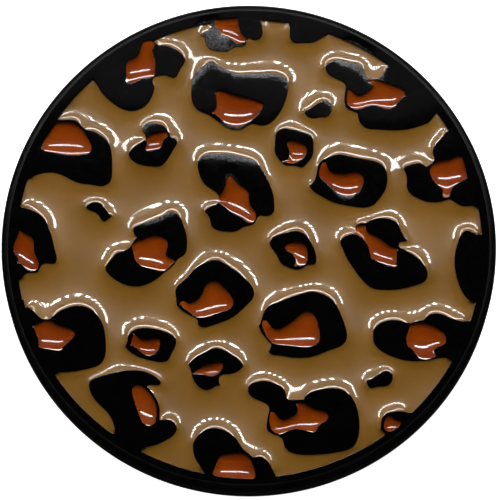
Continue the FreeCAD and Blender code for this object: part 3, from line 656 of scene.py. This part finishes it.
class Surface:
    """A material being built: its shader, and short calls for the nodes that feed it."""

    def __init__(self, name):
        self.material = bpy.data.materials.new(name)
        self.material.use_nodes = True
        self.tree = self.material.node_tree
        self.shader = next(n for n in self.tree.nodes if n.type == "BSDF_PRINCIPLED")
        self.place = self.add("ShaderNodeTexCoord").outputs["Object"]

    def add(self, kind, **settings):
        node = self.tree.nodes.new(kind)
        for key, value in settings.items():
            setattr(node, key, value)
        return node

    def link(self, source, target):
        self.tree.links.new(source, target)

    def feed(self, source, name):
        """Links a source to the shader's input of that name."""
        self.link(source, self.shader.inputs[name])

    def set(self, name, value):
        self.shader.inputs[name].default_value = value

    def noise(self, size, detail=2.0, roughness=0.5):
        """Noise with bumps about that size, in mm."""
        node = self.add("ShaderNodeTexNoise")
        node.inputs["Scale"].default_value = 1 / (size * MM)
        node.inputs["Detail"].default_value = detail
        node.inputs["Roughness"].default_value = roughness
        self.link(self.place, node.inputs["Vector"])
        return node.outputs["Fac"]

    def ramp(self, source, *stops):
        """A colour for the source's value, between stops of a position and a colour or a grey."""
        node = self.add("ShaderNodeValToRGB")
        ramp = node.color_ramp
        while len(ramp.elements) < len(stops):
            ramp.elements.new(0.5)
        for element, (position, colour) in zip(ramp.elements, stops):
            element.position = position
            element.color = (*colour, 1) if isinstance(colour, tuple) else (colour,) * 3 + (1,)
        self.link(source, node.inputs["Fac"])
        return node.outputs["Color"]

    def mix(self, amount, first, second, kind="MIX"):
        """A mix of two sources; the amount is a number or a source too."""
        node = self.add("ShaderNodeMix", data_type="RGBA", blend_type=kind)
        if isinstance(amount, float):
            node.inputs["Factor"].default_value = amount
        else:
            self.link(amount, node.inputs["Factor"])
        self.link(first, node.inputs[MIX_FIRST])
        self.link(second, node.inputs[MIX_SECOND])
        return node.outputs[MIX_RESULT]

    def bump(self, source, height, previous=None):
        """Relief of that height in mm."""
        node = self.add("ShaderNodeBump")
        node.inputs["Strength"].default_value = 1.0
        node.inputs["Distance"].default_value = height * MM
        self.link(source, node.inputs["Height"])
        if previous is not None:
            self.link(previous, node.inputs["Normal"])
        return node.outputs["Normal"]

    def orange_peel(self, height):
        """The faint relief of plating, coarse and fine."""
        coarse = self.bump(self.noise(PEEL_SIZE, detail=3.0), height)
        fine = self.bump(self.noise(FINE_PEEL_SIZE), height * FINE_PEEL_SHARE, coarse)
        self.feed(fine, "Normal")

    def uneven_gloss(self, smoothest, roughest):
        patches = self.noise(GLOSS_SIZE, detail=4.0, roughness=0.65)
        return self.ramp(patches, (0.3, smoothest), (0.7, roughest))

    def stain(self, dark, light):
        """The base colour, which drifts slightly from a dark to a light shade."""
        drift = self.noise(STAIN_SIZE, detail=4.0)
        self.feed(self.ramp(drift, (0.35, dark), (0.75, light)), "Base Color")


def enamel_material(name, deep, middle, light, haze):
    """Glossy enamel under its own clear skin; haze is the share of soft gloss below the skin."""
    surface = Surface(name)
    cloud = surface.noise(CLOUD_SIZE, detail=3.0)
    colour = surface.ramp(cloud, (0.32, deep), (0.5, middle), (0.7, light))
    grain = surface.ramp(surface.noise(GRAIN_SIZE, detail=1.0), (0.3, 0.94), (0.7, 1.0))
    surface.feed(surface.mix(1.0, colour, grain, "MULTIPLY"), "Base Color")
    gloss = surface.ramp(surface.noise(SOFT_GLOSS_SIZE), (0.3, 0.28), (0.75, 0.31))
    surface.feed(gloss, "Roughness")
    surface.set("Specular IOR Level", haze)
    surface.set("Coat Weight", 1.0)
    surface.set("Coat Roughness", 0.035)
    surface.set("Coat IOR", 1.6)
    relief = surface.bump(surface.noise(WAVE_SIZE), WAVE_HEIGHT)
    surface.feed(relief, "Normal")
    surface.feed(relief, "Coat Normal")
    return surface.material


def worn_plating_material(name, smoothest, roughest, worn, specular, peel):
    """Black plating with a faint orange peel, rubbed dull in ragged patches where it lies low."""
    surface = Surface(name)
    surface.stain(0.0001, (0.0006, 0.0005, 0.0004))
    smooth = surface.uneven_gloss(smoothest, roughest)
    height = surface.add("ShaderNodeSeparateXYZ")
    surface.link(surface.place, height.inputs[0])
    low = surface.add("ShaderNodeMapRange")
    surface.link(height.outputs["Z"], low.inputs["Value"])
    low.inputs["From Min"].default_value = (FACE - WORN_BELOW) * MM
    low.inputs["From Max"].default_value = (FACE - WORN_FULLY_BELOW) * MM
    tatters = surface.noise(TATTER_SIZE, detail=6.0, roughness=0.75)
    ragged = surface.mix(0.5, low.outputs["Result"], tatters)
    patches = surface.ramp(ragged, (0.44, 0.0), (0.53, 1.0))
    scuffs = surface.noise(SCUFF_SIZE, detail=4.0, roughness=0.7)
    dull = surface.ramp(scuffs, (0.38, 0.6 * worn), (0.58, 1.2 * worn))
    surface.feed(surface.mix(patches, smooth, dull), "Roughness")
    surface.set("Specular IOR Level", specular)
    surface.orange_peel(peel)
    return surface.material


def lacquer_material(name, smoothest, roughest, specular, peel):
    """Black lacquer over the plating on the side and the back, where nothing rubs it."""
    surface = Surface(name)
    surface.stain((0.0006, 0.0006, 0.0006), (0.0022, 0.0021, 0.0018))
    surface.feed(surface.uneven_gloss(smoothest, roughest), "Roughness")
    surface.set("Specular IOR Level", specular)
    surface.orange_peel(peel)
    return surface.material


# ---------------------------------------------------------------- the object
TAN = enamel_material(
    "tan_enamel_gloss",
    deep=(0.190, 0.086, 0.008),
    middle=(0.212, 0.099, 0.012),
    light=(0.236, 0.112, 0.018),
    haze=0.35,
)
ORANGE = enamel_material(
    "orange_enamel_gloss",
    deep=(0.195, 0.026, 0.0002),
    middle=(0.226, 0.036, 0.0004),
    light=(0.262, 0.048, 0.0012),
    haze=0.04,
)
BLACK_FACE = worn_plating_material(
    "black_plating_face", smoothest=0.05, roughest=0.10, worn=0.26, specular=0.5, peel=0.0015
)
BLACK_EDGE = lacquer_material(
    "black_plating_edge", smoothest=0.30, roughest=0.45, specular=0.15, peel=0.006
)
BLACK_BACK = lacquer_material(
    "black_plating_back", smoothest=0.30, roughest=0.45, specular=0.4, peel=0.010
)

make_struck_disc([BLACK_FACE, BLACK_EDGE, BLACK_BACK])
tan_edge = EdgeFinder(flat_loops(nodes["tan_enamel"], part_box("tan_enamel")[1].z / MM))
pool_loops = []
for name in sorted(name for name in nodes if name.startswith("orange_")):
    pool_loops += make_enamel(name, ORANGE, orange_height, tan_edge)
make_enamel("tan_enamel", TAN, tan_height, EdgeFinder(pool_loops))

# ---------------------------------------------------------------- light, in metres
# The row of small lamps makes the dotted lines of highlights, and the strip the plain ones.
LAMP_COUNT = 17
LAMP_DISTANCE = 0.9
LAMP_SPACING = 0.042     # steps from lamp to lamp, as a share of the distance
LAMP_FORWARD = 0.36      # how far north of straight up the row lies, as a share of the distance
LAMP_WIDTH = 0.012 * LAMP_DISTANCE
LAMP_DEPTH = 0.062 * LAMP_DISTANCE
LAMP_RADIANCE = 62

# The strip and the north fill lie in one place, close to the disc.
NORTH_SLOPE = 44         # degrees away from straight up
NORTH_DISTANCE = 0.12
NORTH_WIDTH = 0.32
STRIP_DEPTH = 0.0042

# The other fills stand farther off. All fills light the disc, but aren't seen in it.
FILL_SLOPE = 60
FILL_DISTANCE = 1.0
FILL_SIZE = 0.6
FILL_RADIANCES = {-90: 1.4, 90: 1.4, 180: 0.3}  # by azimuth


def direction(azimuth, slope):
    """Unit direction: degrees east of north (+Y), and degrees away from straight up."""
    a, s = math.radians(azimuth), math.radians(slope)
    return Vector((math.sin(a) * math.sin(s), math.cos(a) * math.sin(s), math.cos(s)))


def make_light(name, azimuth, slope, distance, width, depth, radiance):
    """A flat rectangular light that faces the disc. Sizes in metres; its width lies level."""
    data = bpy.data.lights.new(name, "AREA")
    data.shape = "RECTANGLE"
    data.size = width
    data.size_y = depth
    data.energy = radiance * math.pi * width * depth
    light = bpy.data.objects.new(name, data)
    way = direction(azimuth, slope)
    light.location = Vector((0, 0, FACE * MM)) + way * distance
    light.rotation_euler = way.to_track_quat("Z", "Y").to_euler()
    bpy.context.scene.collection.objects.link(light)
    return light


def make_lamp_row():
    for i in range(LAMP_COUNT):
        sideways = (i - LAMP_COUNT // 2) * LAMP_SPACING
        up = math.sqrt(1 - sideways ** 2 - LAMP_FORWARD ** 2)
        azimuth = math.degrees(math.atan2(sideways, LAMP_FORWARD))
        slope = math.degrees(math.acos(up))
        name = "lamp_%02d" % i
        make_light(name, azimuth, slope, LAMP_DISTANCE, LAMP_WIDTH, LAMP_DEPTH, LAMP_RADIANCE)


def make_lights():
    make_lamp_row()
    north = (0, NORTH_SLOPE, NORTH_DISTANCE, NORTH_WIDTH)
    make_light("strip", *north, depth=STRIP_DEPTH, radiance=30)
    fills = [make_light("fill_north", *north, depth=0.10, radiance=1.12)]
    for azimuth, radiance in FILL_RADIANCES.items():
        name = "fill_%d" % azimuth
        place = (azimuth, FILL_SLOPE, FILL_DISTANCE)
        fills.append(make_light(name, *place, FILL_SIZE, FILL_SIZE, radiance))
    for fill in fills:
        fill.visible_glossy = False
    card = {"distance": 0.075, "width": 0.10, "depth": 0.016, "radiance": 0.10}
    make_light("card", azimuth=0, slope=22.9, **card)
    below = {"distance": 0.5, "width": 0.5, "depth": 0.35, "radiance": 1.2}
    make_light("lamp_below", azimuth=0, slope=135, **below)


# ---------------------------------------------------------------- stage, in metres
PALE = (0.86, 0.86, 0.86, 1)
DIM = (0.01, 0.01, 0.01, 1)
FLOOR_HALF = 1.5
FLOOR_GLOW = 0.95
FLOOR_LEVEL = -0.02 * MM  # just clear of the back of the disc, so that two faces never coincide


def make_world():
    """A pale backdrop for the camera, and almost no light from it on the disc."""
    world = bpy.data.worlds.new("studio")
    world.use_nodes = True
    shaders = world.node_tree.nodes
    links = world.node_tree.links
    shaders["Background"].inputs["Color"].default_value = DIM
    backdrop = shaders.new("ShaderNodeBackground")
    backdrop.inputs["Color"].default_value = PALE
    seen = shaders.new("ShaderNodeLightPath")
    choose = shaders.new("ShaderNodeMixShader")
    links.new(seen.outputs["Is Camera Ray"], choose.inputs["Fac"])
    links.new(shaders["Background"].outputs[0], choose.inputs[1])
    links.new(backdrop.outputs[0], choose.inputs[2])
    links.new(choose.outputs[0], shaders["World Output"].inputs["Surface"])
    return world


def floor_material():
    """Pale from above, and clear from below, so that the back of the disc can be looked at."""
    surface = Surface("pale_floor")
    surface.set("Base Color", PALE)
    surface.set("Roughness", 0.9)
    surface.set("Specular IOR Level", 0.0)
    surface.set("Emission Color", (1, 1, 1, 1))
    surface.set("Emission Strength", FLOOR_GLOW)
    underside = surface.add("ShaderNodeMixShader")
    facing = surface.add("ShaderNodeNewGeometry")
    clear = surface.add("ShaderNodeBsdfTransparent")
    surface.link(facing.outputs["Backfacing"], underside.inputs["Fac"])
    surface.link(surface.shader.outputs[0], underside.inputs[1])
    surface.link(clear.outputs[0], underside.inputs[2])
    shown = next(n for n in surface.tree.nodes if n.type == "OUTPUT_MATERIAL")
    surface.link(underside.outputs[0], shown.inputs["Surface"])
    return surface.material


def make_floor():
    signs = ((-1, -1), (1, -1), (1, 1), (-1, 1))
    corners = [(x * FLOOR_HALF, y * FLOOR_HALF, FLOOR_LEVEL) for x, y in signs]
    mesh = bpy.data.meshes.new("floor")
    mesh.from_pydata(corners, [], [(0, 1, 2, 3)])
    mesh.materials.append(floor_material())
    floor = bpy.data.objects.new("floor", mesh)
    bpy.context.scene.collection.objects.link(floor)
    floor.visible_glossy = False
    floor.visible_shadow = False
    return floor


# ---------------------------------------------------------------- camera
CAMERA_TILT = 10.5       # degrees that the view leans from straight down, towards -Y
CAMERA_LENS = 350
VIEW_WIDTH = 25.23       # mm of the face that fill the picture across
AIM_RIGHT = 0.061        # mm from the middle of the face to the middle of the picture
AIM_DOWN = 0.231
NEAREST_SEEN = 0.01      # metres
FARTHEST_SEEN = 10


def make_camera():
    data = bpy.data.cameras.new("camera")
    data.lens = CAMERA_LENS
    data.clip_start = NEAREST_SEEN
    data.clip_end = FARTHEST_SEEN
    camera = bpy.data.objects.new("camera", data)
    back_way = direction(180, CAMERA_TILT)
    up_way = Vector((0, back_way.z, -back_way.y))
    half_angle = math.atan(data.sensor_width / 2 / data.lens)
    distance = VIEW_WIDTH / 2 * MM / math.tan(half_angle)
    aim = Vector((AIM_RIGHT, 0, FACE)) * MM - up_way * AIM_DOWN * MM
    camera.location = aim + back_way * distance
    camera.rotation_euler = back_way.to_track_quat("Z", "Y").to_euler()
    bpy.context.scene.collection.objects.link(camera)
    return camera


make_lights()
scene = bpy.context.scene
scene.view_settings.view_transform = "Standard"
scene.world = make_world()
floor = make_floor()
scene.camera = make_camera()
